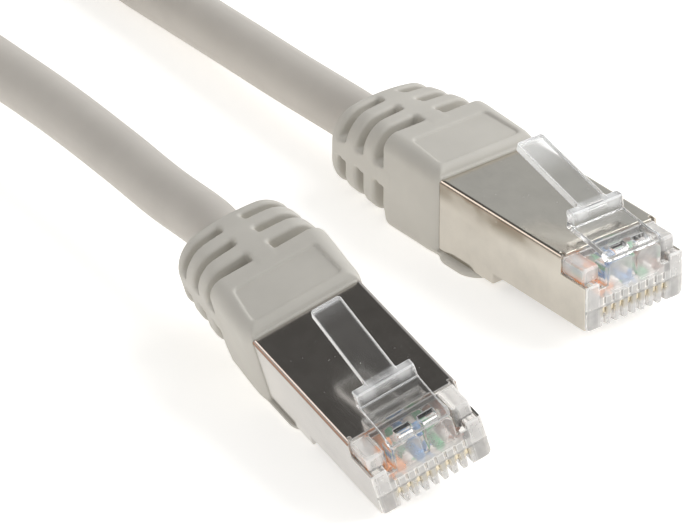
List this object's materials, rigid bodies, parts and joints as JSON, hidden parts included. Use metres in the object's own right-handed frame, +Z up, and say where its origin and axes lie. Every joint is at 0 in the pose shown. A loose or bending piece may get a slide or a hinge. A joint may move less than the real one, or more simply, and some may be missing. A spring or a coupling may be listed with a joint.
{
  "type": "ethernet patch cable",
  "caption": "Shielded ethernet patch cable with a modular plug at each end, clear latches, folded metal shields and light grey ribbed boots on a coiled round cable.",
  "frame": {"origin": "On the floor, under the middle of the box round the two plugs, leaving the cable out.", "axes": "+X is the way plug a goes into its socket, +Y is to the left of plug a, +Z is up, with the latch of plug a on top."},
  "size_m": [0.1722, 0.0672, 0.0174],
  "materials": {
    "clear_plastic": "clear polycarbonate, polished on the flats",
    "gold_plate": "gold plated",
    "nickel_plate": "nickel plated sheet, light scratches",
    "boot_grey": "soft moulded vinyl, matt",
    "jacket_grey": "extruded vinyl, matt",
    "foil": "thin bright foil",
    "tinned_wire": "tinned",
    "copper": "bare copper strands",
    "strap_grey": "woven hook-and-loop strap",
    "insulation_white_orange": "smooth insulation",
    "insulation_orange": "smooth insulation",
    "insulation_white_green": "smooth insulation",
    "insulation_blue": "smooth insulation",
    "insulation_white_blue": "smooth insulation",
    "insulation_green": "smooth insulation",
    "insulation_white_brown": "smooth insulation",
    "insulation_brown": "smooth insulation"
  },
  "bodies": {
    "cable_and_plugs": {"end_a_housing": "clear_plastic", "end_a_contacts": "gold_plate", "end_a_shield": "nickel_plate", "end_a_boot": "boot_grey", "end_a_jacket_end": "jacket_grey", "end_a_foil_screen": "foil", "end_a_drain_wire": "tinned_wire", "end_a_wire_cores": "copper", "end_a_wire_white_orange": "insulation_white_orange", "end_a_wire_orange": "insulation_orange", "end_a_wire_white_green": "insulation_white_green", "end_a_wire_blue": "insulation_blue", "end_a_wire_white_blue": "insulation_white_blue", "end_a_wire_green": "insulation_green", "end_a_wire_white_brown": "insulation_white_brown", "end_a_wire_brown": "insulation_brown", "end_b_housing": "clear_plastic", "end_b_contacts": "gold_plate", "end_b_shield": "nickel_plate", "end_b_boot": "boot_grey", "end_b_jacket_end": "jacket_grey", "end_b_foil_screen": "foil", "end_b_drain_wire": "tinned_wire", "end_b_wire_cores": "copper", "end_b_wire_white_orange": "insulation_white_orange", "end_b_wire_orange": "insulation_orange", "end_b_wire_white_green": "insulation_white_green", "end_b_wire_blue": "insulation_blue", "end_b_wire_white_blue": "insulation_white_blue", "end_b_wire_green": "insulation_green", "end_b_wire_white_brown": "insulation_white_brown", "end_b_wire_brown": "insulation_brown", "cable_lead_a": "jacket_grey", "cable_lead_b": "jacket_grey", "cable_coil": "jacket_grey", "coil_tie": "strap_grey"},
    "latch_a": {"end_a_latch": "clear_plastic"},
    "latch_b": {"end_b_latch": "clear_plastic"}
  },
  "joints": [
    {"name": "latch_a_press", "type": "hinge", "parent": "cable_and_plugs", "child": "latch_a", "pos_m": [0.01196, 0.0171, 0.0086], "axis": [0, -1, 0], "range_deg": [0, 7.5], "stiffness_Nm_per_rad": 0.3},
    {"name": "latch_b_press", "type": "hinge", "parent": "cable_and_plugs", "child": "latch_b", "pos_m": [0.02455, -0.01853, 0.00868], "axis": [-0.1791, -0.9367, -0.301], "range_deg": [0, 7.5], "stiffness_Nm_per_rad": 0.3}
  ]
}
